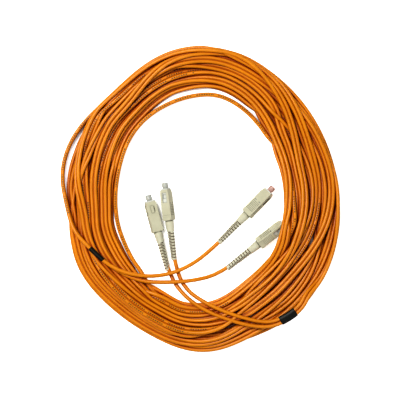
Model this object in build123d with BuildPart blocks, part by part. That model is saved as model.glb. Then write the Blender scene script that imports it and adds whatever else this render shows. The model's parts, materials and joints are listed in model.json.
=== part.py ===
from build123d import *
import math
import os

# A duplex SC to SC fibre optic patch cord, lying in a loose coil on a flat surface.
# Millimetres. +Z is up and the surface is at Z = 0. The origin is on the surface, under the
# middle of the box round the four connectors, which lie in the hole of the coil.

# ---- driving dimensions: cord ----
JACKET_D = 3.0                 # one of the two jacketed fibre cords
CORE_PITCH = 3.1               # between the two cords where they run side by side
BUFFER_D = 0.9                 # tight buffered fibre inside a jacket
COIL_HEIGHT = 12.0             # three to four layers of cord
COIL_EDGE = 3.0                # rounding of the coil's outer shape
POCKET_HEIGHT = 11.2           # room under the strands that lie over connector 4
POCKET_WIDTH = 13.0
SLEEVE_LENGTH = 14.0           # heat-shrink sleeve where the two cords part
SLEEVE_WALL = 0.5
SLEEVE_FIT = 0.1               # what the sleeve's bore is larger than the pair
BEND_SHARE = 0.45              # of a run between two corners, used by the bend at each

# ---- driving dimensions: connector, measured forward from the tail of its boot ----
BOOT_TAIL_D = 4.2
BOOT_WAIST_D = 5.6
BOOT_FRONT_D = 6.7
BOOT_SMOOTH = 22.8             # the slotted tail ends and the smooth part starts
BOOT_SHOULDER = 29.2           # the grip comes back to here
BOOT_COLLAR_D = 6.4            # in the mouth of the grip
BOOT_COLLAR_FRONT = 31.3
BOOT_NECK_D = 5.8
BOOT_FRONT = 33.0
BOOT_SLOTS = 18
BOOT_FIRST_SLOT = 1.7
BOOT_SLOT_PITCH = 1.17
BOOT_SLOT = 0.6
BOOT_SPINE = 1.8               # what joins one rib to the next
BOOT_SLOT_FLOOR = 1.95         # radius that the slots go down to
CRIMP_REAR = 11.0
JACKET_END = 14.0
BUFFER_GAP = 1.4               # room for the ferrule to move back
CRIMP_STEP = 24.0
STOP_REAR = 26.0
FRAME_REAR = 34.0
STOP_FRONT = 38.0
FLANGE_NECK = 40.9
FLANGE_REAR = 43.9
FERRULE_REAR = 44.8
FRAME_WALL = 47.3              # the ferrule's flange stops against this wall
CAVITY_FLOOR = 48.7
GRIP_REAR = 31.2
GRIP_POCKET = 33.2             # the grip's bore for the plug frame starts here
GRIP_FRONT = 55.2
FRAME_FRONT = 56.2
FERRULE_TIP = 56.9
CAP_STEM_REAR = 50.6
CAP_BORE_END = 57.6
CAP_HEAD_REAR = 57.4
CAP_TIP = 60.8

GRIP_W = 9.0                   # across the narrow faces
GRIP_T = 7.4                   # across the broad faces
GRIP_EDGE = 0.6
FRAME_W = 7.3
FRAME_T = 5.9
FRAME_EDGE = 0.4
FRAME_CLEARANCE = 0.05         # on each side of the plug frame in the grip
COLLAR_CLEARANCE = 0.15
GRIP_NOSE = 0.5                # chamfer of the grip's front
WINDOW_W = 3.4                 # latch windows in the grip's narrow faces
WINDOW_REAR = 45.2
WINDOW_FRONT = 53.0
KEY_W = 2.4                    # the rib that makes the plug go in one way up
KEY_HEIGHT = 0.9
KEY_ROOT = 0.2                 # how far the key goes into the face
KEY_REAR = 46.4
KEY_FRONT = 51.8
LATCH_REAR = 48.2              # recess in the plug frame that an adapter's hooks hold
LATCH_FRONT = 51.7
LATCH_W = 2.6
LATCH_DEPTH = 0.6
GROOVES = 7                    # finger grooves across the broad faces
GROOVE_REAR = 34.2
GROOVE_PITCH = 1.25
GROOVE_W = 0.45
GROOVE_DEPTH = 0.25
GROOVE_END = 0.9               # from a groove's end to the grip's side
FERRULE_D = 2.499
FERRULE_HOLE_D = 2.7           # in the plug frame's wall
FERRULE_CHAMFER = 0.35
CAVITY_D = 4.6
SPRING_BORE_D = 5.0
FLANGE_D = 4.6
FLANGE_NECK_D = 2.6
SPRING_D = 3.7                 # middle of the wire
SPRING_WIRE = 0.45
SPRING_TURNS = 5
SPRING_END = 0.05              # gap at each end of the spring
STOP_FLANGE_D = 4.9
STOP_BARREL_D = 4.1
CRIMP_SMALL_D = 4.2
CRIMP_LARGE_D = 5.1
CRIMP_LIP = 1.0                # length of the step's wall
FIT = 0.05                     # round the jacket, the stop's barrel and the crimp sleeve
BUFFER_CLEARANCE = 0.25        # in the spring stop's bore
FLANGE_CLEARANCE = 0.1         # round the buffered fibre in the flange
PRESS_CLEARANCE = 0.01         # round the ferrule in the flange
FRAME_NOSE = 0.3               # chamfer of the plug frame's front
CAP_STEM_D = 4.3
CAP_HEAD_D = 5.0
CAP_BORE_D = 2.62
CAP_ROUND = 0.8
CAP_TRAVEL = 12.0
BARE_BUFFER = 0.5              # from the jacket's end to the buffered fibre's start
POCKET_REAR = 6.0              # how far behind connector 3's nose its pocket starts
POCKET_SPARE = 1.5             # past the cap's travel

# ---- where each connector lies: tail of the boot, heading, and roll about its own axis ----
# Roll 0 has the keyed broad face up, and a positive roll lifts the left side.
CONNECTORS = {
    1: {"tail": (-38.1, -34.1), "heading": 105.0, "roll": 15.0},
    2: {"tail": (-33.3, -26.0), "heading": 97.0, "roll": -111.0},
    3: {"tail": (1.5, -12.4), "heading": 45.5, "roll": 159.0},
    4: {"tail": (8.0, -32.6), "heading": 38.0, "roll": 117.0},
}

# ---- heat-shrink sleeves: middle, direction away from the legs, and tilt of the flat pair ----
SLEEVES = {
    1: {"middle": (-93.5, -21.3, 11.6), "heading": 136.2, "tilt": 90.0},
    2: {"middle": (55.5, -69.7, 12.5), "heading": 32.2, "tilt": 0.0},
}

# ---- routes of the four legs, from inside the boot, through a sleeve, into the coil ----
# The first point is in the boot. Each leg leaves its boot in line with it.
LEG_ROUTES = {
    1: [
        (-41.7, -20.6, 4.6), (-36.8, -38.9, 4.6), (-24.5, -55.0, 11.0), (-7.5, -66.0, 12.6),
        (12.0, -73.3, 12.6), (31.5, -78.0, 12.6), (47.0, -76.9, 12.5), (65.6, -65.2, 12.5),
        (75.0, -48.5, 10.5), (82.5, -31.5, 8.0),
    ],
    2: [
        (-35.0, -12.1, 5.35), (-32.6, -31.5, 5.35), (-24.3, -49.3, 8.0), (-7.8, -60.0, 12.6),
        (11.0, -68.0, 12.7), (30.5, -73.5, 12.6), (45.4, -74.3, 12.5), (64.0, -62.6, 12.5),
        (72.3, -46.2, 10.5), (79.6, -29.8, 8.0),
    ],
    3: [
        (11.3, -2.4, 4.9), (-3.4, -17.4, 4.9), (-20.5, -30.5, 9.2), (-40.0, -38.0, 10.8),
        (-61.0, -38.5, 13.0), (-82.7, -31.7, 13.15), (-104.3, -10.9, 13.15),
        (-115.0, 14.0, 10.5), (-119.3, 40.0, 7.5),
    ],
    4: [
        (19.0, -24.0, 5.5), (2.5, -36.9, 5.5), (-18.2, -42.0, 9.8), (-38.5, -43.4, 11.0),
        (-60.0, -42.6, 10.2), (-82.7, -31.7, 10.05), (-104.3, -10.9, 10.05),
        (-112.0, 13.6, 7.5), (-115.7, 38.5, 6.0),
    ],
}

# ---- the loose coil in plan, anticlockwise from the top ----
COIL_OUTSIDE = [
    (-14.3, 140.9), (-52.5, 129.2), (-84.0, 102.5), (-113.0, 71.5), (-122.7, 38.0),
    (-117.2, 7.5), (-110.2, -29.9), (-81.0, -66.0), (-45.0, -89.5), (-6.5, -99.3),
    (26.0, -90.0), (62.0, -68.5), (87.1, -33.8), (96.5, 15.0), (88.0, 60.0),
    (69.2, 94.9), (38.0, 124.5),
]
COIL_INSIDE = [
    (-6.5, 101.5), (-32.0, 96.5), (-61.9, 75.4), (-76.0, 38.0), (-75.5, 2.0),
    (-55.0, -35.5), (-32.2, -51.7), (-8.0, -56.5), (19.3, -43.9), (41.1, -22.1),
    (51.5, 10.0), (49.5, 42.0), (37.2, 69.2), (18.0, 92.0),
]


def unit(angle):
    """Unit vector in plan at this angle from +X, in degrees."""
    return Vector(math.cos(math.radians(angle)), math.sin(math.radians(angle)), 0)


def axis_height(roll):
    """Height of a connector's axis when its grip rests on the surface at this roll."""
    sine = abs(math.sin(math.radians(roll)))
    cosine = abs(math.cos(math.radians(roll)))
    return (GRIP_W / 2 - GRIP_EDGE) * sine + (GRIP_T / 2 - GRIP_EDGE) * cosine + GRIP_EDGE


def connector_plane(number):
    """Plane at the tail of a boot: Z forward, Y out of the keyed broad face."""
    lie = CONNECTORS[number]
    forward = unit(lie["heading"])
    left = unit(lie["heading"] + 90)
    roll = math.radians(lie["roll"])
    width = left * math.cos(roll) + Vector(0, 0, 1) * math.sin(roll)
    tail = Vector(*lie["tail"], axis_height(lie["roll"]))
    return Plane(origin=tail, x_dir=width, z_dir=forward)


def save(part, name):
    """Label a finished piece and write its STEP file."""
    part.label = name
    export_step(part, f"parts/{name}.step")


def turned(plane, outline):
    """Solid of revolution about the connector's axis, from (radius, station) points."""
    with BuildPart() as body:
        with BuildSketch(Plane(plane.origin, x_dir=plane.x_dir, z_dir=-plane.y_dir)) as half:
            with BuildLine():
                Polyline(*outline, close=True)
            make_face()
        revolve(axis=Axis(plane.origin, plane.z_dir))
    return body.part


# ---- strain relief boot: smooth front, slotted tail with each slot turned by 90 degrees ----
def make_boot(number, plane):
    across = 3 * BOOT_FRONT_D
    with BuildPart() as boot:
        with BuildSketch(plane):
            Circle(BOOT_TAIL_D / 2)
        with BuildSketch(plane.offset(BOOT_SMOOTH)):
            Circle(BOOT_WAIST_D / 2)
        loft()
        with BuildSketch(plane.offset(BOOT_SMOOTH)):
            Circle(BOOT_WAIST_D / 2)
        with BuildSketch(plane.offset(BOOT_SHOULDER)):
            Circle(BOOT_FRONT_D / 2)
        loft()
        with BuildSketch(plane.offset(BOOT_SHOULDER)):
            Circle(BOOT_COLLAR_D / 2)
        extrude(amount=BOOT_COLLAR_FRONT - BOOT_SHOULDER)
        with BuildSketch(plane.offset(BOOT_COLLAR_FRONT)):
            Circle(BOOT_NECK_D / 2)
        extrude(amount=BOOT_FRONT - BOOT_COLLAR_FRONT)
        for slot in range(BOOT_SLOTS):
            station = BOOT_FIRST_SLOT + BOOT_SLOT_PITCH * slot
            along_width = slot % 2 == 0
            with BuildSketch(plane.offset(station)):
                Circle(BOOT_FRONT_D)
                Circle(BOOT_SLOT_FLOOR, mode=Mode.SUBTRACT)
                Rectangle(
                    across if along_width else BOOT_SPINE,
                    BOOT_SPINE if along_width else across,
                    mode=Mode.SUBTRACT,
                )
            extrude(amount=BOOT_SLOT, mode=Mode.SUBTRACT)
        with BuildSketch(plane):
            Circle(JACKET_D / 2 + FIT)
        extrude(amount=CRIMP_REAR, mode=Mode.SUBTRACT)
        with BuildSketch(plane.offset(CRIMP_REAR)):
            Circle(CRIMP_SMALL_D / 2 + FIT)
        extrude(amount=CRIMP_STEP - CRIMP_REAR, mode=Mode.SUBTRACT)
        with BuildSketch(plane.offset(CRIMP_STEP)):
            Circle(CRIMP_LARGE_D / 2 + FIT)
        extrude(amount=BOOT_FRONT - CRIMP_STEP, mode=Mode.SUBTRACT)
    save(boot.part, f"connector_{number}_boot")


# ---- crimp sleeve: holds the jacket and its yarn on the barrel of the spring stop ----
def make_crimp_sleeve(number, plane):
    small_bore = JACKET_D / 2 + FIT
    large_bore = STOP_BARREL_D / 2 + FIT
    outline = [
        (small_bore, CRIMP_REAR), (CRIMP_SMALL_D / 2, CRIMP_REAR),
        (CRIMP_SMALL_D / 2, CRIMP_STEP), (CRIMP_LARGE_D / 2, CRIMP_STEP),
        (CRIMP_LARGE_D / 2, BOOT_FRONT), (large_bore, BOOT_FRONT),
        (large_bore, CRIMP_STEP + CRIMP_LIP), (small_bore, CRIMP_STEP + CRIMP_LIP),
    ]
    save(turned(plane, outline), f"connector_{number}_crimp_sleeve")


# ---- spring stop: barrel under the crimp, flange that closes the plug frame ----
def make_spring_stop(number, plane):
    bore = BUFFER_D / 2 + BUFFER_CLEARANCE
    outline = [
        (bore, STOP_REAR), (STOP_BARREL_D / 2, STOP_REAR), (STOP_BARREL_D / 2, FRAME_REAR),
        (STOP_FLANGE_D / 2, FRAME_REAR), (STOP_FLANGE_D / 2, STOP_FRONT), (bore, STOP_FRONT),
    ]
    save(turned(plane, outline), f"connector_{number}_spring_stop")


# ---- spring that pushes the ferrule forward ----
def make_spring(number, plane):
    length = FLANGE_REAR - STOP_FRONT - SPRING_WIRE - 2 * SPRING_END
    start = plane.offset(STOP_FRONT + SPRING_WIRE / 2)
    with BuildPart() as spring:
        with BuildLine():
            coil = Helix(
                pitch=length / SPRING_TURNS,
                height=length,
                radius=SPRING_D / 2,
                center=start.origin + plane.z_dir * SPRING_END,
                direction=plane.z_dir,
            )
        with BuildSketch(Plane(coil @ 0, z_dir=coil % 0)):
            Circle(SPRING_WIRE / 2)
        sweep(path=coil, is_frenet=True)
    save(spring.part, f"connector_{number}_spring")


# ---- plug frame: the inner housing, with the round cavity that an adapter's sleeve enters ----
def make_plug_frame(number, plane):
    with BuildPart() as frame:
        with BuildSketch(plane.offset(FRAME_REAR)):
            RectangleRounded(FRAME_W, FRAME_T, FRAME_EDGE)
        extrude(amount=FRAME_FRONT - FRAME_REAR)
        front = frame.faces().sort_by(Axis(plane.origin, plane.z_dir))[-1]
        chamfer(front.outer_wire().edges(), FRAME_NOSE)
        with BuildSketch(plane.offset(FRAME_REAR)):
            Circle(SPRING_BORE_D / 2)
        extrude(amount=FRAME_WALL - FRAME_REAR, mode=Mode.SUBTRACT)
        with BuildSketch(plane.offset(FRAME_WALL)):
            Circle(FERRULE_HOLE_D / 2)
        extrude(amount=CAVITY_FLOOR - FRAME_WALL, mode=Mode.SUBTRACT)
        with BuildSketch(plane.offset(CAVITY_FLOOR)):
            Circle(CAVITY_D / 2)
        extrude(amount=FRAME_FRONT - CAVITY_FLOOR, mode=Mode.SUBTRACT)
        with BuildSketch(plane.offset(LATCH_REAR)):
            with Locations((FRAME_W / 2, 0), (-FRAME_W / 2, 0)):
                Rectangle(2 * LATCH_DEPTH, LATCH_W)
        extrude(amount=LATCH_FRONT - LATCH_REAR, mode=Mode.SUBTRACT)
    save(frame.part, f"connector_{number}_plug_frame")


# ---- ferrule and the flange that it is pressed into ----
def make_ferrule(number, plane):
    radius = FERRULE_D / 2
    outline = [
        (0, FERRULE_REAR), (radius, FERRULE_REAR), (radius, FERRULE_TIP - FERRULE_CHAMFER),
        (radius - FERRULE_CHAMFER, FERRULE_TIP), (0, FERRULE_TIP),
    ]
    save(turned(plane, outline), f"connector_{number}_ferrule")


def make_ferrule_flange(number, plane):
    bore = FERRULE_D / 2 + PRESS_CLEARANCE
    buffer_bore = BUFFER_D / 2 + FLANGE_CLEARANCE
    outline = [
        (buffer_bore, FLANGE_NECK), (FLANGE_NECK_D / 2, FLANGE_NECK),
        (FLANGE_NECK_D / 2, FLANGE_REAR), (FLANGE_D / 2, FLANGE_REAR),
        (FLANGE_D / 2, FRAME_WALL), (bore, FRAME_WALL), (bore, FERRULE_REAR),
        (buffer_bore, FERRULE_REAR),
    ]
    save(turned(plane, outline), f"connector_{number}_ferrule_flange")


# ---- tight buffered fibre from the jacket's end to just behind the ferrule ----
def make_buffered_fibre(number, plane):
    with BuildPart() as fibre:
        with BuildSketch(plane.offset(JACKET_END + BARE_BUFFER)):
            Circle(BUFFER_D / 2)
        extrude(amount=FERRULE_REAR - BUFFER_GAP - JACKET_END - BARE_BUFFER)
    save(fibre.part, f"connector_{number}_buffered_fibre")


# ---- grip: the outer housing that slides on the plug frame ----
def make_grip(number, plane):
    bore_w = FRAME_W + 2 * FRAME_CLEARANCE
    bore_t = FRAME_T + 2 * FRAME_CLEARANCE
    with BuildPart() as grip:
        with BuildSketch(plane.offset(GRIP_REAR)):
            RectangleRounded(GRIP_W, GRIP_T, GRIP_EDGE)
        extrude(amount=GRIP_FRONT - GRIP_REAR)
        front = grip.faces().sort_by(Axis(plane.origin, plane.z_dir))[-1]
        chamfer(front.outer_wire().edges(), GRIP_NOSE)
        with BuildSketch(plane.offset(GRIP_POCKET)):
            RectangleRounded(bore_w, bore_t, FRAME_EDGE)
        extrude(amount=GRIP_FRONT - GRIP_POCKET, mode=Mode.SUBTRACT)
        with BuildSketch(plane.offset(GRIP_REAR)):
            Circle(BOOT_COLLAR_D / 2 + COLLAR_CLEARANCE)
        extrude(amount=GRIP_POCKET - GRIP_REAR, mode=Mode.SUBTRACT)
        with BuildSketch(plane.offset(WINDOW_REAR)):
            Rectangle(2 * GRIP_W, WINDOW_W)
        extrude(amount=WINDOW_FRONT - WINDOW_REAR, mode=Mode.SUBTRACT)
        with BuildSketch(plane.offset(KEY_REAR)):
            with Locations((0, GRIP_T / 2 - KEY_ROOT)):
                Rectangle(KEY_W, KEY_HEIGHT + KEY_ROOT, align=(Align.CENTER, Align.MIN))
        extrude(amount=KEY_FRONT - KEY_REAR)
        for groove in range(GROOVES):
            with BuildSketch(plane.offset(GROOVE_REAR + GROOVE_PITCH * groove)):
                with Locations((0, GRIP_T / 2), (0, -GRIP_T / 2)):
                    Rectangle(GRIP_W - 2 * GROOVE_END, 2 * GROOVE_DEPTH)
            extrude(amount=GROOVE_W, mode=Mode.SUBTRACT)
    save(grip.part, f"connector_{number}_grip")


# ---- dust cap: a stem in the cavity round the ferrule, and a rounded head ----
def make_dust_cap(number, plane):
    bore = CAP_BORE_D / 2
    head = CAP_HEAD_D / 2
    outline = [
        (bore, CAP_STEM_REAR), (CAP_STEM_D / 2, CAP_STEM_REAR), (CAP_STEM_D / 2, CAP_HEAD_REAR),
        (head, CAP_HEAD_REAR), (head, CAP_TIP - CAP_ROUND), (head - CAP_ROUND, CAP_TIP),
        (0, CAP_TIP), (0, CAP_BORE_END), (bore, CAP_BORE_END),
    ]
    save(turned(plane, outline), f"connector_{number}_dust_cap")


# ---- heat-shrink sleeve round the flat pair of cords ----
def make_sleeve(number):
    lie = SLEEVES[number]
    along = unit(lie["heading"])
    across = unit(lie["heading"] - 90)
    tilt = math.radians(lie["tilt"])
    width = across * math.cos(tilt) + Vector(0, 0, 1) * math.sin(tilt)
    start = Vector(*lie["middle"]) - along * (SLEEVE_LENGTH / 2)
    pair_w = CORE_PITCH + JACKET_D + SLEEVE_FIT
    pair_t = JACKET_D + SLEEVE_FIT
    with BuildPart() as sleeve:
        with BuildSketch(Plane(origin=start, x_dir=width, z_dir=along)):
            SlotOverall(pair_w + 2 * SLEEVE_WALL, pair_t + 2 * SLEEVE_WALL)
            SlotOverall(pair_w, pair_t, mode=Mode.SUBTRACT)
        extrude(amount=SLEEVE_LENGTH)
    save(sleeve.part, f"heat_shrink_sleeve_{number}")


# ---- one jacketed cord from its boot, through a sleeve, into the coil ----
def bend_radii(points):
    """Radius at each inner point, where the bend starts at the same share of the shorter run."""
    corners = [Vector(*point) for point in points]
    radii = []
    for before, corner, after in zip(corners, corners[1:], corners[2:]):
        run_in = corner - before
        run_out = after - corner
        half_turn = math.radians(run_in.get_angle(run_out) / 2)
        radii.append(BEND_SHARE * min(run_in.length, run_out.length) / math.tan(half_turn))
    return radii


def make_leg(number):
    route = LEG_ROUTES[number]
    radii = bend_radii(route)
    with BuildPart() as leg:
        with BuildLine():
            path = FilletPolyline(*route, radius=radii)
        with BuildSketch(Plane(origin=route[0], z_dir=path % 0)):
            Circle(JACKET_D / 2)
        sweep(path=path)
    length = path.length
    section = math.pi * (JACKET_D / 2) ** 2
    print(f"leg {number}: length {length:.1f}, radii", [round(radius, 1) for radius in radii])
    print(f"   volume {leg.part.volume:.1f}, section times length {section * length:.1f}")
    save(leg.part, f"cord_leg_{number}")


# ---- the coil: one solid of the outer shape of all its turns ----
def make_coil():
    with BuildPart() as coil:
        with BuildSketch():
            with BuildLine():
                Spline(*COIL_OUTSIDE, periodic=True)
            make_face()
            with BuildLine():
                Spline(*COIL_INSIDE, periodic=True)
            make_face(mode=Mode.SUBTRACT)
        extrude(amount=COIL_HEIGHT)
        fillet(coil.faces().sort_by(Axis.Z)[-1].edges(), COIL_EDGE)
        for number, first_station in ((3, GRIP_FRONT - POCKET_REAR), (4, GRIP_REAR)):
            lie = CONNECTORS[number]
            forward = unit(lie["heading"])
            start = Vector(*lie["tail"], 0) + forward * first_station
            reach = CAP_TIP + CAP_TRAVEL + POCKET_SPARE - first_station
            with BuildSketch(Plane(origin=start, x_dir=forward, z_dir=(0, 0, 1))):
                Rectangle(reach, POCKET_WIDTH, align=(Align.MIN, Align.CENTER))
            extrude(amount=POCKET_HEIGHT, mode=Mode.SUBTRACT)
    save(coil.part, "cord_coil")


os.makedirs("parts", exist_ok=True)
for number in CONNECTORS:
    seat = connector_plane(number)
    make_boot(number, seat)
    make_crimp_sleeve(number, seat)
    make_spring_stop(number, seat)
    make_spring(number, seat)
    make_plug_frame(number, seat)
    make_ferrule(number, seat)
    make_ferrule_flange(number, seat)
    make_buffered_fibre(number, seat)
    make_grip(number, seat)
    make_dust_cap(number, seat)
    make_leg(number)
for number in SLEEVES:
    make_sleeve(number)
make_coil()
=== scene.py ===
import json
import math

import bpy
import numpy as np
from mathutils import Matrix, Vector
from mathutils.bvhtree import BVHTree


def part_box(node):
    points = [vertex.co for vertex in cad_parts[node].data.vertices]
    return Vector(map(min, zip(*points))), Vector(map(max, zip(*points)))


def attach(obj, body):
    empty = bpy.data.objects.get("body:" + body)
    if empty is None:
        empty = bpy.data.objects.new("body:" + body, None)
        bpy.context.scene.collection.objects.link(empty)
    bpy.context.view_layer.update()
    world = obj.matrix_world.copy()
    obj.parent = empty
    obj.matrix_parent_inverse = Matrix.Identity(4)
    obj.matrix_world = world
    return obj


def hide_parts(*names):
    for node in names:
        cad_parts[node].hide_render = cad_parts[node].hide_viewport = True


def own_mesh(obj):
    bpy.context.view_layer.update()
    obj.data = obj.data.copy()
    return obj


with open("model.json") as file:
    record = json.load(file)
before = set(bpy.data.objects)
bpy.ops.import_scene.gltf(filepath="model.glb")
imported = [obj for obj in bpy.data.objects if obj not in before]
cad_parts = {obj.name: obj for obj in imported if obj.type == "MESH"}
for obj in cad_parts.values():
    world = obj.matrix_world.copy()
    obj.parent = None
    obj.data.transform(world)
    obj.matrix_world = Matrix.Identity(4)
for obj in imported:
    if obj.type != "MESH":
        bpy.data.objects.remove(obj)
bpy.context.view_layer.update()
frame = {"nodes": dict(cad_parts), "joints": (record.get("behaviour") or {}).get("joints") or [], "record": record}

# A duplex fibre optic patch cord in a loose coil, seen from straight above.
# The coil is settled in millimetres and everything is made in metres.

MM = 0.001
NODES = frame["nodes"]

# ---- cord, in millimetres ----
JACKET_R = 1.5
PAIR = 3.05                    # between the middles of the two joined cords
TURNS = 16                     # whole turns of the coil
STATIONS = 72                  # points on each turn
LINE_STEPS = 4                 # line points for each point of a route
TUBE_SIDES = 14

# ---- legs, in millimetres: from inside the boot to the far side of the heat-shrink sleeve ----
LEGS = {
    1: [
        (-41.7, -20.6, 4.6), (-36.8, -38.9, 4.6), (-24.5, -55.0, 10.2), (-7.5, -66.0, 11.2),
        (12.0, -73.3, 11.2), (31.5, -78.0, 11.2), (47.0, -76.9, 11.6), (65.6, -65.2, 11.6),
    ],
    2: [
        (-35.0, -12.1, 5.35), (-32.6, -31.5, 5.35), (-24.3, -49.3, 8.0), (-7.8, -60.0, 11.2),
        (11.0, -68.0, 11.4), (30.5, -73.5, 11.3), (45.4, -74.3, 11.6), (64.0, -62.6, 11.6),
    ],
    3: [
        (11.3, -2.4, 4.9), (-3.4, -17.4, 4.9), (-20.5, -30.5, 9.2), (-40.0, -38.0, 10.8),
        (-61.0, -38.5, 12.6), (-82.7, -31.7, 13.15), (-104.3, -10.9, 13.15),
    ],
    4: [
        (19.0, -24.0, 5.5), (2.5, -36.9, 5.5), (-18.2, -42.0, 9.8), (-38.5, -43.4, 10.6),
        (-60.0, -42.6, 10.2), (-82.7, -31.7, 10.05), (-104.3, -10.9, 10.05),
    ],
}


# ---- coil ----
FIRST_ANGLE = 194              # where the cord comes down into the coil, degrees about its middle
LAST_ANGLE = -40               # where it leaves, after the whole turns; it is laid clockwise
SIXTHS = 6
LEVEL_RISE = 0.65
PILE_TOP = 13.6                # highest middle of a cord, which the CAD box allows
HUMP_DROP = (0.7, 2.6, 5.4, 8.0, 9.8)   # below the top of a hump, by stations away from it
# Where a turn strays inside the others, and where the pair is held on edge, by turns laid.
LOOSE_PART = [(3.72, 0), (3.95, 1), (4.36, 1), (4.56, 0)]
ON_EDGE = [(0.20, 1), (0.45, 0), (3.68, 0), (3.92, 1), (4.40, 1), (4.64, 0)]

# For each turn its level in the pile, and its place across the band, 0 inside and 1 outside,
# at the left, upper left, upper right, right, lower right and bottom of the coil.
LAY = [
    (0, (1.00, 0.97, 0.80, 0.90, 1.00, 0.80)),
    (1, (0.66, 0.60, 0.58, 0.50, 0.53, 0.45)),
    (2, (0.36, 0.40, 0.38, 0.40, 0.38, 0.20)),
    (4, (0.16, 0.20, 0.20, 0.00, 0.16, 0.10)),
    (3, (0.00, 0.00, 0.00, 0.12, 0.04, 0.00)),
    (5, (0.10, 0.10, 0.18, 0.40, 0.60, 0.55)),
    (6, (0.82, 0.85, 1.00, 1.00, 0.90, 0.95)),
    (7, (0.95, 0.90, 0.66, 0.62, 0.75, 0.70)),
    (8, (0.50, 0.50, 0.50, 0.75, 0.80, 0.60)),
    (9, (0.72, 0.74, 0.80, 0.86, 0.66, 0.88)),
    (11, (0.90, 0.80, 0.56, 0.22, 0.30, 0.25)),
    (12, (0.24, 0.26, 0.24, 0.06, 0.10, 0.14)),
    (13, (0.42, 0.38, 0.42, 0.52, 0.12, 0.70)),
    (14, (0.78, 0.66, 0.72, 0.95, 0.50, 0.45)),
    (16, (0.62, 1.00, 0.92, 0.35, 0.25, 0.30)),
    (15, (0.32, 0.50, 0.97, 0.70, 0.32, 0.60)),
    (10, (0.58, 0.84, 0.88, 0.98, 1.00, 1.00)),
]
# How far the other turns keep from the band's edges, by angle in degrees, to leave a turn apart.
INNER_GAP = [
    (0, 0), (40, 0), (68, 3.1), (90, 5.9), (105, 6.8), (115, 5.0), (125, 3.1), (180, 3.1),
    (195, 4.9), (210, 3.1), (250, 3.1), (260, 4.8), (270, 3.1), (300, 0), (360, 0),
]
OUTER_GAP = [(0, 0), (138, 0), (150, 5), (160, 7), (170, 6), (182, 2.5), (194, 0), (360, 0)]
# Radius and height of both cords where the coil meets the sleeves' pairs.
COIL_ENDS = {
    0: ((100.2, 12.6), (99.8, 9.6)),
    1: ((103.2, 10.8), (102.6, 7.8)),
    -1: ((112.3, 10.2), (109.3, 9.6)),
}


# ==== camera, floor and light ====
def coil_middle():
    low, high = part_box("cord_coil")
    return (low + high) / 2


def add_camera():
    """Straight above the coil; the photographed field is 312 mm wide at the coil."""
    middle = coil_middle()
    distance = 1.2
    data = bpy.data.cameras.new("camera")
    data.sensor_width = 36
    data.lens = data.sensor_width * distance / 0.312
    data.clip_start = 0.01
    data.clip_end = 20
    camera = bpy.data.objects.new("camera", data)
    camera.location = (middle.x, middle.y, middle.z + distance)
    bpy.context.scene.collection.objects.link(camera)
    bpy.context.scene.camera = camera


def add_floor():
    middle = coil_middle()
    mesh = bpy.data.meshes.new("floor")
    reach = 3.0
    corners = [(-reach, -reach, 0), (reach, -reach, 0), (reach, reach, 0), (-reach, reach, 0)]
    mesh.from_pydata([Vector((middle.x, middle.y, 0)) + Vector(c) for c in corners], [], [(0, 1, 2, 3)])
    floor = bpy.data.objects.new("floor", mesh)
    bpy.context.scene.collection.objects.link(floor)
    material = bpy.data.materials.new("floor_white")
    material.use_nodes = True
    shader = material.node_tree.nodes["Principled BSDF"]
    shader.inputs["Base Color"].default_value = (0.93, 0.93, 0.93, 1)
    shader.inputs["Roughness"].default_value = 0.9
    shader.inputs["Specular IOR Level"].default_value = 0.1
    shader.inputs["Emission Color"].default_value = (1, 1, 1, 1)
    # The floor's even white glow is taken away in narrow gaps between the cords: a painted shadow there.
    glow_with_gap_shadow = calculated(
        material.node_tree.nodes, material.node_tree.links, "MULTIPLY",
        occlusion_shade(material.node_tree.nodes, material.node_tree.links, 0.009, 0.5, 0.25), 0.7,
    )
    material.node_tree.links.new(glow_with_gap_shadow, shader.inputs["Emission Strength"])
    mesh.materials.append(material)
    floor.visible_glossy = False


def add_light(name, offset, size, power):
    """Square area light aimed at the coil."""
    middle = coil_middle()
    data = bpy.data.lights.new(name, "AREA")
    data.size = size
    data.energy = power
    light = bpy.data.objects.new(name, data)
    light.location = middle + Vector(offset)
    light.rotation_euler = (-Vector(offset)).to_track_quat("-Z", "Y").to_euler()
    bpy.context.scene.collection.objects.link(light)


def add_world(strength):
    world = bpy.data.worlds.new("studio")
    world.use_nodes = True
    background = world.node_tree.nodes["Background"]
    background.inputs["Color"].default_value = (1, 1, 1, 1)
    background.inputs["Strength"].default_value = strength
    bpy.context.scene.world = world


# ==== the coil's turns ====
def connector_axis(number):
    """Middle of the ferrule's tip and the way it points, of one connector."""
    joint = next(j for j in frame["joints"] if j["name"] == f"grip_{number}_slide")
    forward = Vector(joint["axis"]).normalized()
    low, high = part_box(f"connector_{number}_ferrule")
    middle = (low + high) / 2
    corners = [v.co for v in NODES[f"connector_{number}_ferrule"].data.vertices]
    reach = max((co - middle).dot(forward) for co in corners)
    return middle + forward * reach, forward


def band_edges(angles):
    """Inner and outer radius of the coil's solid round its middle, in millimetres.

    The inner wall is taken above the pockets, where the edge's rounding has drawn it in.
    """
    low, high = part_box("cord_coil")
    middle = (low + high) / 2
    solid = NODES["cord_coil"].data
    tree = BVHTree.FromPolygons([v.co for v in solid.vertices], [p.vertices for p in solid.polygons])
    drawn_in = 1.1
    inner, outer = [], []
    for angle in angles:
        way = Vector((math.cos(angle), math.sin(angle), 0))
        start = Vector((middle.x, middle.y, high.z - 0.7 * MM))
        hit = tree.ray_cast(start, way)[0]
        inner.append((hit - start).length / MM - drawn_in)
        start.z = middle.z
        hit = tree.ray_cast(start + way * 0.3, -way)[0]
        outer.append((hit - start).length / MM)
    return np.array(inner), np.array(outer)


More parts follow.
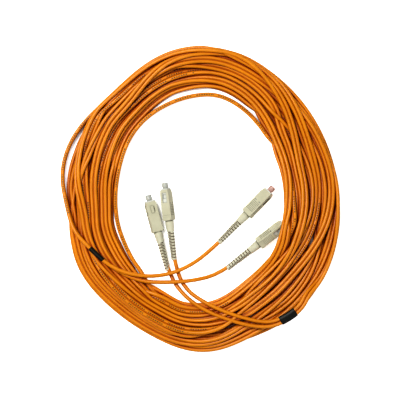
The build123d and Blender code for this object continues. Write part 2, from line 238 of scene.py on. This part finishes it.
def obstacles():
    """Boxes in plan that the turns pass over: (tip, forward, from, to, half width, height)."""
    cap_travel = 12.0
    boxes = []
    for number in (3, 4):
        tip, forward = connector_axis(number)
        tip = np.array(tip) / MM
        forward = np.array(forward)
        grip_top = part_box(f"connector_{number}_grip")[1].z / MM
        boxes.append((tip, forward, -27.5, -1.0, 5.6, grip_top))
        boxes.append((tip, forward, -6.5, 4.2 + cap_travel, 4.6, tip[2] + 2.9))
    return boxes


def slow_noise(rng, count, spacings, amounts, blur):
    """Sum of smooth random walks along a line of stations."""
    stations = np.arange(count)
    total = np.zeros(count)
    for spacing, amount in zip(spacings, amounts):
        knots = rng.normal(size=int(count / spacing) + 4)
        total += amount * np.interp(stations, np.arange(len(knots)) * spacing, knots)
    window = np.hanning(blur)
    return np.convolve(total, window / window.sum(), "same")


def along_turns(rows, turns):
    """Value along the coil from rows of one number for each sixth of a turn, eased between them."""
    knots = np.array(rows).ravel()
    at = np.clip(turns * SIXTHS, 0, len(knots) - 1.001)
    before = at.astype(int)
    share = at - before
    share = share * share * (3 - 2 * share)
    return knots[before] * (1 - share) + knots[before + 1] * share


def eased(low):
    """Lowest height of each cord at each station, rising and falling gently along the cord."""
    ramp = low.copy()
    for away, drop in enumerate(HUMP_DROP, 1):
        ramp[away:] = np.maximum(ramp[away:], low[:-away] - drop)
        ramp[:-away] = np.maximum(ramp[:-away], low[away:] - drop)
    return ramp


def pushed_apart(cords):
    """How each cord has to move off the others that lie against it at its own angle."""
    turned = cords.reshape(-1, STATIONS, 2, 2).transpose(1, 0, 2, 3)
    cut = turned.reshape(STATIONS, -1, 2)
    both = np.arange(cut.shape[1])
    gap = cut[:, :, None] - cut[:, None]
    far = np.sqrt((gap**2).sum(-1)) + 1e-9
    deep = np.clip(2 * JACKET_R - far, 0, None)
    deep[:, both, both] = 0
    deep[:, both, both ^ 1] = 0
    touching = (deep > 0).sum(2)
    push = (gap * (deep / far)[..., None]).sum(2) * 0.45
    push *= (np.minimum(touching, 2) / np.maximum(touching, 1))[..., None]
    return push.reshape(turned.shape).transpose(1, 0, 2, 3).reshape(-1, 2, 2)


def settle_coil():
    """Middles of the two cords at each station of the coil, (stations, 2, 3) in millimetres.

    The turns are laid by the places across the band and the levels in the pile given above.
    Gravity, the floor, the other turns and the connectors under the turns do the rest.
    """
    rng = np.random.default_rng(7)
    first = math.radians(FIRST_ANGLE)
    step = 2 * math.pi / STATIONS
    count = int(round((FIRST_ANGLE - LAST_ANGLE + 360 * TURNS) / 360 * STATIONS)) + 1
    station = np.arange(count)
    angle = first - station * step
    column = station % STATIONS
    rows = TURNS + 1
    turns = station / STATIONS
    degrees = np.degrees(angle) % 360
    inner, outer = band_edges(first - np.arange(STATIONS) * step)
    inner = (inner + JACKET_R)[column]
    outer = (outer - JACKET_R)[column]
    apart = np.interp(turns, *zip(*LOOSE_PART))
    apart = apart * apart * (3 - 2 * apart)
    loose = np.interp(degrees, *zip(*INNER_GAP)) * (1 - apart)
    inner = inner + loose
    outer = outer - np.interp(degrees, *zip(*OUTER_GAP)) * (turns > 0.25)
    middle = np.array(coil_middle())[:2] / MM

    place = along_turns([row[1] for row in LAY], turns)
    place += slow_noise(rng, count, (22, 12, 52), (0.03, 0.015, 0.03), 15)
    wanted = inner + 0.4 + np.clip(place, 0, 1) * (outer - inner - 0.8)
    level = np.interp(turns, np.arange(rows) + 0.5, [row[0] for row in LAY])
    height = JACKET_R + LEVEL_RISE * level + 0.3 * rng.random(count)
    tilt = slow_noise(rng, count, (43,), (1.0,), 31)
    edge = np.interp(turns, *zip(*ON_EDGE))
    tilt = tilt * (1 - edge) + math.pi / 2 * edge

    cords = np.full((rows * STATIONS, 2, 2), -100.0)
    for cord, side in ((0, 0.5), (1, -0.5)):
        cords[:count, cord, 0] = wanted + side * PAIR * np.cos(tilt)
        cords[:count, cord, 1] = height + side * PAIR * np.sin(tilt)
    under = obstacles()
    line = cords[:count]
    between = cords.copy()
    rest = wanted[:, None, None] * np.array([1.0, 0.0])
    rounds = 560
    for now in range(rounds):
        late = now > 0.88 * rounds
        if not late:
            line[:, :, 1] -= 0.06
            line[:, :, 0] += 0.03 * (wanted - line[:, :, 0].mean(1))[:, None]
        if now % 2 == 0:
            offset = line - rest
            soft = 0.2 * (offset[1:-3] + offset[3:-1]) + 0.1 * (offset[:-4] + offset[4:])
            soft += 0.4 * offset[2:-2]
            offset[2:-2] += (0.15 if late else 0.5) * (soft - offset[2:-2])
            line[:] = rest + offset
        for _ in range(2):
            across = line[:, 0] - line[:, 1]
            apart = np.linalg.norm(across, axis=1, keepdims=True)
            fix = (apart - PAIR) / apart * across * 0.5
            line[:, 0] -= fix
            line[:, 1] += fix
            between[:-1] = (cords[:-1] + cords[1:]) / 2
            push = pushed_apart(between)[:-1] * 0.5
            cords[:-1] += push
            cords[1:] += push
            between[1:-1] = (cords[:-2] + 6 * cords[1:-1] + cords[2:]) / 8
            cords += pushed_apart(between)
            upright = line[:, :, 0].mean(1, keepdims=True) - line[:, :, 0]
            line[:, :, 0] += 0.3 * edge[:, None] * upright
            line[:, :, 0] = np.clip(line[:, :, 0], inner[:, None], outer[:, None])
            low = np.full((count, 2), JACKET_R)
            plan = line[:, :, :1] * np.stack([np.cos(angle), np.sin(angle)], 1)[:, None] + middle
            for tip, forward, start, end, half_width, top in under:
                along = (plan - tip[:2]) @ forward[:2]
                aside = np.abs((plan - tip[:2]) @ np.array([-forward[1], forward[0]]))
                over = (along > start - JACKET_R) & (along < end + JACKET_R)
                over &= aside < half_width + JACKET_R
                low[over] = top + JACKET_R
            low = eased(low)
            line[:, :, 1] = np.clip(line[:, :, 1], low, PILE_TOP)
            for at, value in COIL_ENDS.items():
                line[at] = value
    offset = line - rest
    offset[1:-1] = 0.5 * offset[1:-1] + 0.25 * (offset[:-2] + offset[2:])
    line[:] = rest + offset
    plan = line[:, :, :1] * np.stack([np.cos(angle), np.sin(angle)], 1)[:, None] + middle
    return np.concatenate([plan, line[:, :, 1:]], axis=2)


# ==== lines, tubes and the pieces on the cord ====
def smooth_line(name, points):
    """Points along the NURBS curve with these control points, which are in millimetres."""
    data = bpy.data.curves.new(name, "CURVE")
    data.dimensions = "3D"
    data.resolution_u = LINE_STEPS
    spline = data.splines.new("NURBS")
    spline.points.add(len(points) - 1)
    for point, place in zip(spline.points, points):
        point.co = (place[0] * MM, place[1] * MM, place[2] * MM, 1)
    spline.order_u = 3
    spline.use_endpoint_u = True
    route = bpy.data.objects.new(name, data)
    mesh = bpy.data.meshes.new_from_object(route)
    line = np.zeros(len(mesh.vertices) * 3)
    mesh.vertices.foreach_get("co", line)
    bpy.data.objects.remove(route)
    bpy.data.meshes.remove(mesh)
    bpy.data.curves.remove(data)
    return line.reshape(-1, 3)


def frames_along(line):
    """Unit tangent, sideways and upward directions at each point of a line."""
    tangent = np.gradient(line, axis=0)
    tangent /= np.linalg.norm(tangent, axis=1, keepdims=True)
    side = np.cross([0.0, 0.0, 1.0], tangent)
    side /= np.linalg.norm(side, axis=1, keepdims=True)
    return tangent, side, np.cross(tangent, side)


def piece_from(name, vertices, faces, material, body="cord", smooth=True):
    mesh = bpy.data.meshes.new(name)
    mesh.from_pydata([tuple(v) for v in vertices], [], faces)
    mesh.materials.append(material)
    if smooth:
        mesh.polygons.foreach_set("use_smooth", [True] * len(mesh.polygons))
    piece = bpy.data.objects.new(name, mesh)
    bpy.context.scene.collection.objects.link(piece)
    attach(piece, body)
    return piece


def ring_faces(rings, sides, closed=True):
    """Quads between rings of equal size, with an n-gon at each end."""
    faces = []
    for ring in range(rings - 1):
        start = ring * sides
        for side in range(sides):
            after = (side + 1) % sides
            faces.append((start + side, start + after, start + sides + after, start + sides + side))
    if closed:
        faces.append(tuple(range(sides))[::-1])
        faces.append(tuple(range((rings - 1) * sides, rings * sides)))
    return faces


def add_cord(name, line, material):
    """Round jacket along a line, with how far along and round each vertex is, for its print."""
    tangent, side, up = frames_along(line)
    turn = np.arange(TUBE_SIDES) * 2 * math.pi / TUBE_SIDES
    ring = np.stack([np.cos(turn), np.sin(turn)], 1) * JACKET_R * MM
    rings = (
        line[:, None]
        + side[:, None] * ring[None, :, :1]
        + up[:, None] * ring[None, :, 1:]
    )
    cord = piece_from(
        name, rings.reshape(-1, 3), ring_faces(len(line), TUBE_SIDES), material
    )
    run = np.concatenate([[0], np.cumsum(np.linalg.norm(np.diff(line, axis=0), axis=1))])
    place = np.zeros((len(line), TUBE_SIDES, 3))
    place[..., 0] = np.cos(turn)
    place[..., 1] = np.sin(turn)
    place[..., 2] = run[:, None]
    attribute = cord.data.attributes.new("around_along", "FLOAT_VECTOR", "POINT")
    attribute.data.foreach_set("vector", place.ravel())
    return cord, run[-1]


def add_web(line_a, line_b, material):
    """Thin web that joins the two jackets between the sleeves."""
    across = line_b - line_a
    across /= np.linalg.norm(across, axis=1, keepdims=True)
    tangent = frames_along((line_a + line_b) / 2)[0]
    normal = np.cross(tangent, across)
    reach = 1.25 * MM
    half = 0.42 * MM
    corners = np.stack(
        [
            line_a + across * reach + normal * half,
            line_b - across * reach + normal * half,
            line_b - across * reach - normal * half,
            line_a + across * reach - normal * half,
        ],
        axis=1,
    )
    return piece_from(
        "cord_web", corners.reshape(-1, 3), ring_faces(len(line_a), 4), material, smooth=False
    )


def add_sleeve(name, line_a, line_b, material):
    """Heat-shrink tube drawn tight round both cords, with rolled ends."""
    sides = 32
    count = len(line_a)
    middle = (line_a + line_b) / 2
    across = line_b - line_a
    half_gap = np.linalg.norm(across, axis=1) / 2
    across /= np.linalg.norm(across, axis=1, keepdims=True)
    normal = np.cross(frames_along(middle)[0], across)
    share = np.linspace(0, 1, count)
    lip = np.clip(np.minimum(share, 1 - share) / 0.04, 0, 1) ** 0.5
    wall = (JACKET_R + 0.06 + 0.44 * lip) * MM
    rings = []
    for turn in np.arange(sides) * 2 * math.pi / sides:
        shift = half_gap * np.clip(1.6 * math.cos(turn), -1, 1)
        waist = 1 - 0.10 * (1 - min(1, abs(1.6 * math.cos(turn)))) ** 2
        rings.append(
            middle
            + across * (shift + wall * math.cos(turn) * (1 if abs(1.6 * math.cos(turn)) > 1 else 0.6))[:, None]
            + normal * (wall * math.sin(turn) * waist)[:, None]
        )
    vertices = np.stack(rings, axis=1).reshape(-1, 3)
    return piece_from(name, vertices, ring_faces(count, sides), material)


# ==== connectors, in millimetres from the boot's tail ====
FERRULE_TIP = 56.9
KEY_REACH = (4.6, 4.9)         # how far from the axis the edges of the key's top are


def connector_frame(number):
    """Tail of the boot and the way to its width, keyed face and front, of one connector."""
    mount = next(m for m in frame["record"]["mounts"] if m["name"] == f"plug_{number}")
    forward = np.array(mount["axis"])
    tail = np.array(mount["pos_m"]) - forward * FERRULE_TIP * MM
    corners = np.array([v.co for v in NODES[f"connector_{number}_grip"].data.vertices]) - tail
    aside = corners - np.outer(corners @ forward, forward)
    far = np.linalg.norm(aside, axis=1) / MM
    keyed = aside[(far > KEY_REACH[0]) & (far < KEY_REACH[1])].mean(axis=0)
    keyed /= np.linalg.norm(keyed)
    return tail, np.cross(keyed, forward), keyed, forward


def placed(number, vertices):
    """Millimetres in a connector's own frame to metres in the shared frame."""
    tail, width, keyed, forward = connector_frame(number)
    local = np.array(vertices) * MM
    return tail + local @ np.stack([width, keyed, forward])


def revolved(outline, sides):
    """Surface of revolution from (radius, station) points, closed where the radius is nothing."""
    turn = np.arange(sides) * 2 * math.pi / sides
    vertices = [
        (radius * math.cos(t), radius * math.sin(t), station) for radius, station in outline for t in turn
    ]
    return vertices, ring_faces(len(outline), sides)


def boot_mesh():
    """Smooth front and a tapered tail with staggered slots; also how deep each vertex lies, 1 in a slot, which
    marks where the slots get painted shade.
    """
    sides = 48
    rows = 18
    pitch = 1.17
    slot_half = 0.27
    lip = 0.06
    first_row = 2.0
    slot_shade_mask = 0.62
    slot_floor = 1.94
    crimp_floor = 2.2
    crimp_rear = 10.8
    tail_radius = 2.1
    waist_radius = 2.8
    smooth_from = 22.8
    rings = [(0.0, 1.56, None), (0.0, tail_radius - 0.25, None), (0.25, tail_radius, None)]
    for row in range(rows):
        middle = first_row + pitch * row
        radius = tail_radius + (waist_radius - tail_radius) * middle / smooth_from
        rings.append((middle - slot_half - lip, radius, None))
        rings.append((middle - slot_half, radius, row))
        rings.append((middle + slot_half, radius, row))
        rings.append((middle + slot_half + lip, radius, None))
    rings += [
        (smooth_from, waist_radius, None), (25.0, 3.02, None), (28.6, 3.33, None),
        (29.0, 3.33, None), (29.2, 3.2, None), (31.3, 3.2, None), (31.3, 2.9, None),
        (33.0, 2.9, None), (33.0, 2.2, None),
    ]
    turn = np.arange(sides) * 2 * math.pi / sides
    vertices, depth = [], []
    for station, radius, row in rings:
        inside = np.zeros(sides)
        if row is not None:
            side = math.cos(math.radians(62))
            inside = (np.abs(np.cos(turn - math.radians(45 + 90 * (row % 2)))) > side) * 1.0
        for t, slotted in zip(turn, inside):
            floor = crimp_floor if station > crimp_rear else slot_floor
            reach = max(radius - slot_shade_mask * slotted, min(radius, floor))
            vertices.append((reach * math.cos(t), reach * math.sin(t), station))
            depth.append(slotted)
    return vertices, ring_faces(len(rings), sides), depth


def rounded_section(half_width, half_height, corner, station, per_corner=6):
    points = []
    for quarter in range(4):
        x_sign = 1 if quarter in (0, 3) else -1
        y_sign = 1 if quarter in (0, 1) else -1
        for step in range(per_corner):
            t = (quarter + step / (per_corner - 1)) * math.pi / 2
            points.append((
                x_sign * (half_width - corner) + corner * math.cos(t),
                y_sign * (half_height - corner) + corner * math.sin(t),
                station,
            ))
    return points


def box_mesh(low, high):
    vertices = [(x, y, z) for z in (low[2], high[2]) for x, y in (
        (low[0], low[1]), (high[0], low[1]), (high[0], high[1]), (low[0], high[1])
    )]
    return vertices, ring_faces(2, 4)


def joined_mesh(parts):
    vertices, faces = [], []
    for part_vertices, part_faces in parts:
        start = len(vertices)
        vertices += part_vertices
        faces += [tuple(start + index for index in face) for face in part_faces]
    return vertices, faces


def boolean_mesh(solid, cutter, operation):
    """Vertices and faces of one closed mesh cut by or joined to another."""
    objects = []
    for label, (vertices, faces) in (("solid", solid), ("cutter", cutter)):
        mesh = bpy.data.meshes.new(label)
        mesh.from_pydata(vertices, [], faces)
        mesh.validate()
        objects.append(bpy.data.objects.new(label, mesh))
        bpy.context.scene.collection.objects.link(objects[-1])
    modifier = objects[0].modifiers.new("cut", "BOOLEAN")
    modifier.operation = operation
    modifier.solver = "EXACT"
    modifier.use_self = True
    modifier.object = objects[1]
    evaluated = objects[0].evaluated_get(bpy.context.evaluated_depsgraph_get())
    result = bpy.data.meshes.new_from_object(evaluated)
    vertices = [tuple(v.co) for v in result.vertices]
    faces = [tuple(p.vertices) for p in result.polygons]
    bpy.data.meshes.remove(result)
    for item in objects:
        mesh = item.data
        bpy.data.objects.remove(item)
        bpy.data.meshes.remove(mesh)
    return vertices, faces


def grip_mesh():
    """Outer housing with its key, windows, grooves, rear cheeks and drawn-in nose."""
    stations = [
        (31.2, 3.95, 3.36), (31.6, 4.25, 3.58), (32.2, 4.40, 3.66), (34.0, 4.42, 3.68),
        (34.3, 4.32, 3.60), (51.0, 4.32, 3.60), (52.8, 4.18, 3.48), (54.4, 3.98, 3.32),
        (55.0, 3.88, 3.22), (55.2, 3.80, 3.14),
    ]
    corner = 0.55
    shell = []
    for station, half_width, half_height in stations:
        shell += rounded_section(half_width, half_height, corner, station)
    solid = (shell, ring_faces(len(stations), 24))
    cheeks = [
        box_mesh((side * 3.95 - 0.55, -2.7, 31.1), (side * 3.95 + 0.55, 2.7, 33.8)) for side in (-1, 1)
    ]
    key = box_mesh((-0.75, 3.3, 46.4), (1.25, 4.35, 51.8))
    solid = boolean_mesh(solid, joined_mesh(cheeks + [key]), "UNION")
    cutters = [
        box_mesh((-3.72, -3.02, 33.2), (3.72, 3.02, 56.0)),
        box_mesh((-6.0, -1.75, 45.2), (6.0, 1.75, 53.0)),
        box_mesh((-1.75, 3.15, 47.0), (-0.75, 5.0, 51.4)),
        box_mesh((-3.1, -4.2, 44.2), (-1.25, -2.5, 44.8)),
        box_mesh((1.25, -4.2, 44.2), (3.1, -2.5, 44.8)),
    ]
    for rib in range(7):
        station = 35.2 + 1.25 * rib
        cutters.append(box_mesh((-3.3, -4.2, station), (3.3, -3.25, station + 0.45)))
        cutters.append(box_mesh((4.14, -2.6, station), (5.0, 2.6, station + 0.45)))
    cutters.append(box_mesh((-5.0, -2.7, 35.2), (-4.18, 2.7, 35.5)))
    bore, bore_faces = revolved([(3.3, 30.0), (3.3, 34.0)], 32)
    cutters.append((bore, bore_faces))
    return boolean_mesh(solid, joined_mesh(cutters), "DIFFERENCE")


def cap_mesh():
    """Hollow stem round the ferrule, and a rounded head with shallow finger grooves."""
    outline = [
        (1.32, 50.6), (1.95, 50.6), (2.12, 50.8), (2.12, 57.2), (2.35, 57.4), (2.47, 57.6),
        (2.48, 58.0), (2.41, 58.15), (2.41, 58.4), (2.48, 58.55), (2.48, 58.95), (2.41, 59.1),
        (2.41, 59.35), (2.48, 59.5), (2.47, 59.95), (2.36, 60.3), (2.12, 60.58), (1.75, 60.74),
        (1.1, 60.8), (0.02, 60.8), (0.02, 57.6), (1.0, 57.6), (1.32, 57.3), (1.32, 50.6),
    ]
    return revolved(outline, 48)


def spring_mesh(number):
    """Compression spring with a closed turn at each end, as long as the CAD spring at rest.

    Also where its rear end and front end lie along the connector.
    """
    tail, _, _, forward = connector_frame(number)
    corners = np.array([v.co for v in NODES[f"connector_{number}_spring"].data.vertices])
    stations = (corners - tail) @ forward / MM
    rear, front = stations.min(), stations.max()
    wire = 0.22
    radius = 1.85
    turns = 6
    sides = 10
    steps = 28
    at = np.linspace(0, turns, turns * steps + 1)
    rise = np.interp(at, (0, 1, turns - 1, turns), (0, 0.085, 0.915, 1))
    middle = rear + wire + rise * (front - rear - 2 * wire)
    angle = 2 * math.pi * at
    vertices = []
    for station, a in zip(middle, angle):
        for side in range(sides):
            turn = 2 * math.pi * side / sides
            reach = radius + wire * math.cos(turn)
            vertices.append((reach * math.cos(a), reach * math.sin(a), station + wire * math.sin(turn)))
    return vertices, ring_faces(len(at), sides), rear, front


def add_spring(number, material):
    """Spring of its own, as long as the CAD spring, in place of it."""
    vertices, faces, rear, front = spring_mesh(number)
    spring = piece_from(f"spring_{number}", placed(number, vertices), faces, material)
    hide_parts(f"connector_{number}_spring")
    tail, _, _, forward = connector_frame(number)
    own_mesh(spring)


# ==== materials ====
def principled(name, colour, roughness):
    material = bpy.data.materials.new(name)
    material.use_nodes = True
    shader = material.node_tree.nodes["Principled BSDF"]
    shader.inputs["Base Color"].default_value = (*colour, 1)
    shader.inputs["Roughness"].default_value = roughness
    return material, material.node_tree.nodes, material.node_tree.links, shader


def add_grain(nodes, links, shader, scale, strength, distance):
    """Fine moulded or extruded texture in the normal."""
    place = nodes.new("ShaderNodeTexCoord")
    noise = nodes.new("ShaderNodeTexNoise")
    noise.inputs["Scale"].default_value = scale
    noise.inputs["Detail"].default_value = 4
    bump = nodes.new("ShaderNodeBump")
    bump.inputs["Strength"].default_value = strength
    bump.inputs["Distance"].default_value = distance
    links.new(place.outputs["Object"], noise.inputs["Vector"])
    links.new(noise.outputs["Fac"], bump.inputs["Height"])
    links.new(bump.outputs["Normal"], shader.inputs["Normal"])
    return place, noise


def add_mottle(nodes, links, shader, place, scale, dark, light):
    """Slow change of colour over a surface between two colours."""
    noise = nodes.new("ShaderNodeTexNoise")
    noise.inputs["Scale"].default_value = scale
    noise.inputs["Detail"].default_value = 3
    ramp = nodes.new("ShaderNodeValToRGB")
    ramp.color_ramp.elements[0].position = 0.3
    ramp.color_ramp.elements[0].color = (*dark, 1)
    ramp.color_ramp.elements[1].position = 0.7
    ramp.color_ramp.elements[1].color = (*light, 1)
    links.new(place.outputs["Object"], noise.inputs["Vector"])
    links.new(noise.outputs["Fac"], ramp.inputs["Fac"])
    links.new(ramp.outputs["Color"], shader.inputs["Base Color"])
    return ramp


def colour_mix(nodes, links, factor, colour, other):
    """Colour socket that goes from one colour to another, fixed one as a factor rises."""
    mix = nodes.new("ShaderNodeMix")
    mix.data_type = "RGBA"
    first, second = [socket for socket in mix.inputs if socket.type == "RGBA"]
    second.default_value = (*other, 1)
    links.new(factor, mix.inputs["Factor"])
    links.new(colour, first)
    return next(socket for socket in mix.outputs if socket.type == "RGBA")


def occlusion_shade(nodes, links, distance, deep, open_from):
    """Socket from ambient occlusion, for painted shade: 1 deep in a gap of about this distance and 0 in the open;
    with deep above open_from it is the other way round.
    """
    shade = nodes.new("ShaderNodeAmbientOcclusion")
    shade.samples = 8
    shade.inputs["Distance"].default_value = distance
    spread = nodes.new("ShaderNodeMapRange")
    spread.inputs["From Min"].default_value = deep
    spread.inputs["From Max"].default_value = open_from
    spread.inputs["To Min"].default_value = 1
    spread.inputs["To Max"].default_value = 0
    links.new(shade.outputs["AO"], spread.inputs["Value"])
    return spread.outputs["Result"]


def shade_gaps(nodes, links, shader, dark, distance):
    """Painted shade: take the base colour to a deeper one where surfaces close in on each other."""
    base = shader.inputs["Base Color"].links[0].from_socket
    depth = occlusion_shade(nodes, links, distance, 0.15, 0.95)
    colour = colour_mix(nodes, links, depth, base, dark)
    links.new(colour, shader.inputs["Base Color"])
    return colour


def calculated(nodes, links, operation, value, number):
    """Result of one sum on a socket and a number."""
    node = nodes.new("ShaderNodeMath")
    node.operation = operation
    links.new(value, node.inputs[0])
    node.inputs[1].default_value = number
    return node.outputs["Value"]


def print_marks(nodes, links, shader, colour):
    """A row of plain dashes along the top of the cord, once in each 2.3 m of it."""
    place = nodes.new("ShaderNodeAttribute")
    place.attribute_name = "around_along"
    parts = nodes.new("ShaderNodeSeparateXYZ")
    links.new(place.outputs["Vector"], parts.inputs["Vector"])
    mask = calculated(nodes, links, "GREATER_THAN", parts.outputs["Y"], 0.94)
    run = calculated(nodes, links, "ADD", parts.outputs["Z"], 2.14)
    for period, printed in ((0.0019, 0.62), (0.0173, 0.80), (2.3, 0.13)):
        share = calculated(nodes, links, "MODULO", run, period)
        inked = calculated(nodes, links, "LESS_THAN", share, printed * period)
        both = nodes.new("ShaderNodeMath")
        both.operation = "MULTIPLY"
        links.new(mask, both.inputs[0])
        links.new(inked, both.inputs[1])
        mask = both.outputs["Value"]
    faded = calculated(nodes, links, "MULTIPLY", mask, 0.85)
    links.new(colour_mix(nodes, links, faded, colour, (0.03, 0.012, 0.006)), shader.inputs["Base Color"])


def jacket_material():
    """Orange PVC with painted shade: a deep red where the cords shade each other."""
    material, nodes, links, shader = principled("jacket_orange", (0.70, 0.29, 0.009), 0.38)
    place, _ = add_grain(nodes, links, shader, 900, 0.12, 0.0002)
    add_mottle(nodes, links, shader, place, 60, (0.61, 0.220, 0.003), (0.70, 0.268, 0.005))
    # painted shade: deep red from ambient occlusion in the gaps between the cords
    colour = shade_gaps(nodes, links, shader, (0.30, 0.022, 0.0003), 0.005)
    print_marks(nodes, links, shader, colour)
    shader.inputs["Specular IOR Level"].default_value = 0.35
    return material


def plastic_material(name, dark, light, roughness, grain=600):
    material, nodes, links, shader = principled(name, light, roughness)
    place, _ = add_grain(nodes, links, shader, grain, 0.15, 0.0002)
    add_mottle(nodes, links, shader, place, 80, dark, light)
    # painted shade: a darker colour from ambient occlusion in narrow gaps and recesses
    shade_gaps(nodes, links, shader, tuple(0.25 * share for share in dark), 0.0012)
    shader.inputs["Specular IOR Level"].default_value = 0.25
    return material


def paint_slot_shade(material):
    """Painted shade: the open slots of the boot are coloured dark for the shadow between boot and jacket that they
    look into.
    """
    nodes = material.node_tree.nodes
    links = material.node_tree.links
    shader = nodes["Principled BSDF"]
    colour = shader.inputs["Base Color"].links[0].from_socket
    depth = nodes.new("ShaderNodeAttribute")
    depth.attribute_name = "slot_shade_mask"
    # painted shade colour, dark brown, in the slots
    dark = colour_mix(nodes, links, depth.outputs["Fac"], colour, (0.11, 0.07, 0.045))
    links.new(dark, shader.inputs["Base Color"])


def cap_material(name, dark, light):
    material, nodes, links, shader = principled(name, light, 0.32)
    place, _ = add_grain(nodes, links, shader, 500, 0.1, 0.0002)
    add_mottle(nodes, links, shader, place, 120, dark, light)
    shader.inputs["Subsurface Weight"].default_value = 0.2
    shader.inputs["Subsurface Radius"].default_value = (0.002, 0.0015, 0.001)
    return material


def metal_material(name, colour, roughness):
    material, nodes, links, shader = principled(name, colour, roughness)
    shader.inputs["Metallic"].default_value = 1
    place, _ = add_grain(nodes, links, shader, 1500, 0.1, 0.0001)
    add_mottle(nodes, links, shader, place, 200, tuple(c * 0.8 for c in colour), colour)
    return material


def dress(node, material):
    """Give a CAD node its material."""
    mesh = NODES[node].data
    mesh.materials.clear()
    mesh.materials.append(material)


# ==== making ====
add_camera()
add_floor()
add_world(0.12)
add_light("key", (-0.42, 0.34, 1.15), 0.45, 16.5)
add_light("fill", (0.7, -0.6, 0.8), 0.9, 3.5)
bpy.context.scene.view_settings.view_transform = "Standard"
bpy.context.scene.view_settings.look = "Medium High Contrast"
bpy.context.scene.view_settings.gamma = 0.85

jacket = jacket_material()
coil = settle_coil()
control_a = LEGS[3] + [tuple(p) for p in coil[:, 0]] + LEGS[1][::-1]
control_b = LEGS[4] + [tuple(p) for p in coil[:, 1]] + LEGS[2][::-1]
line_a = smooth_line("route_a", control_a)
line_b = smooth_line("route_b", control_b)
cord_a, length_a = add_cord("cord_a", line_a, jacket)
cord_b, length_b = add_cord("cord_b", line_b, jacket)
per_point = (len(line_a) - 1) / (len(control_a) - 2)


def line_part(first, last):
    """Slice of the lines between two places counted in control points."""
    return slice(int(round((first - 0.5) * per_point)), int(round((last - 0.5) * per_point)) + 1)


sleeve_1_at = len(LEGS[3]) - 1.5
sleeve_2_at = len(control_a) - len(LEGS[1]) + 0.5
joined = line_part(sleeve_1_at, sleeve_2_at)
web = add_web(line_a[joined], line_b[joined], jacket)


def sleeve_part(at):
    """Index of the line point at a sleeve's middle."""
    middle = int(round((at - 0.5 + 0.5) * per_point))
    return middle


def near(line, point, half):
    """Index of the line's point nearest a point; the half length is not used."""
    centre = int(np.argmin(np.linalg.norm(line - point, axis=1)))
    return centre


shrink = plastic_material("shrink_black", (0.006, 0.007, 0.005), (0.013, 0.015, 0.011), 0.42)
beige = plastic_material("grip_beige", (0.48, 0.465, 0.335), (0.55, 0.535, 0.40), 0.62)
boot_beige = plastic_material("boot_beige", (0.53, 0.515, 0.385), (0.60, 0.585, 0.45), 0.62)
paint_slot_shade(boot_beige)
white = plastic_material("frame_white", (0.56, 0.57, 0.50), (0.66, 0.67, 0.60), 0.42)
cap_grey = cap_material("cap_grey", (0.42, 0.43, 0.385), (0.50, 0.51, 0.46))
cap_rose = cap_material("cap_rose", (0.46, 0.30, 0.26), (0.54, 0.36, 0.31))
ceramic = plastic_material("ferrule_ceramic", (0.80, 0.80, 0.78), (0.9, 0.9, 0.88), 0.15)
nickel = metal_material("nickel", (0.72, 0.72, 0.71), 0.28)
brass = metal_material("crimp_metal", (0.70, 0.62, 0.42), 0.35)
steel = metal_material("spring_steel", (0.55, 0.55, 0.56), 0.3)
buffer_coat = plastic_material("buffer_coat", (0.7, 0.68, 0.58), (0.78, 0.75, 0.65), 0.45)
boot_form = boot_mesh()
grip_form = grip_mesh()
cap_form = cap_mesh()
for number in (1, 2, 3, 4):
    finish = {
        "crimp_sleeve": brass, "spring_stop": nickel, "plug_frame": white,
        "ferrule": ceramic, "ferrule_flange": nickel, "buffered_fibre": buffer_coat,
    }
    for piece, material in finish.items():
        dress(f"connector_{number}_{piece}", material)
    cap_slot, cap_finish = ("dust_cap_grey", cap_grey) if number < 3 else ("dust_cap_rose", cap_rose)
    boot = piece_from(
        f"boot_{number}", placed(number, boot_form[0]), boot_form[1], boot_beige
    )
    # mask for the painted shade in the boot's slots
    depth = boot.data.attributes.new("slot_shade_mask", "FLOAT", "POINT")
    depth.data.foreach_set("value", boot_form[2])
    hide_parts(f"connector_{number}_boot")
    grip = piece_from(
        f"grip_shell_{number}", placed(number, grip_form[0]), grip_form[1], beige, f"grip_{number}",
        smooth=False,
    )
    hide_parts(f"connector_{number}_grip")
    cap = piece_from(
        f"cap_{number}", placed(number, cap_form[0]), cap_form[1], cap_finish, f"dust_cap_{number}"
    )
    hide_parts(f"connector_{number}_dust_cap")
    add_spring(number, steel)


def add_sleeve_near(name, node):
    """Sleeve over the stretch of both lines that lies inside a CAD sleeve's length."""
    low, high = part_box(node)
    middle = np.array((low + high) / 2)
    centre = int(np.argmin(np.linalg.norm((line_a + line_b) / 2 - middle, axis=1)))
    both = (line_a + line_b) / 2
    run = np.concatenate([[0], np.cumsum(np.linalg.norm(np.diff(both, axis=0), axis=1))])
    wanted = run[centre] + np.linspace(-7, 7, 49) * MM
    part_a = np.stack([np.interp(wanted, run, line_a[:, axis]) for axis in range(3)], 1)
    part_b = np.stack([np.interp(wanted, run, line_b[:, axis]) for axis in range(3)], 1)
    sleeve = add_sleeve(name, part_a, part_b, shrink)
    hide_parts(node)
    return sleeve


sleeve_1 = add_sleeve_near("shrink_sleeve_1", "heat_shrink_sleeve_1")
sleeve_2 = add_sleeve_near("shrink_sleeve_2", "heat_shrink_sleeve_2")

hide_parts("cord_coil", "cord_leg_3", "cord_leg_1")
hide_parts("cord_coil", "cord_leg_4", "cord_leg_2")
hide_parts("cord_coil")
print("lengths", length_a, length_b, "control points", len(control_a), len(control_b))
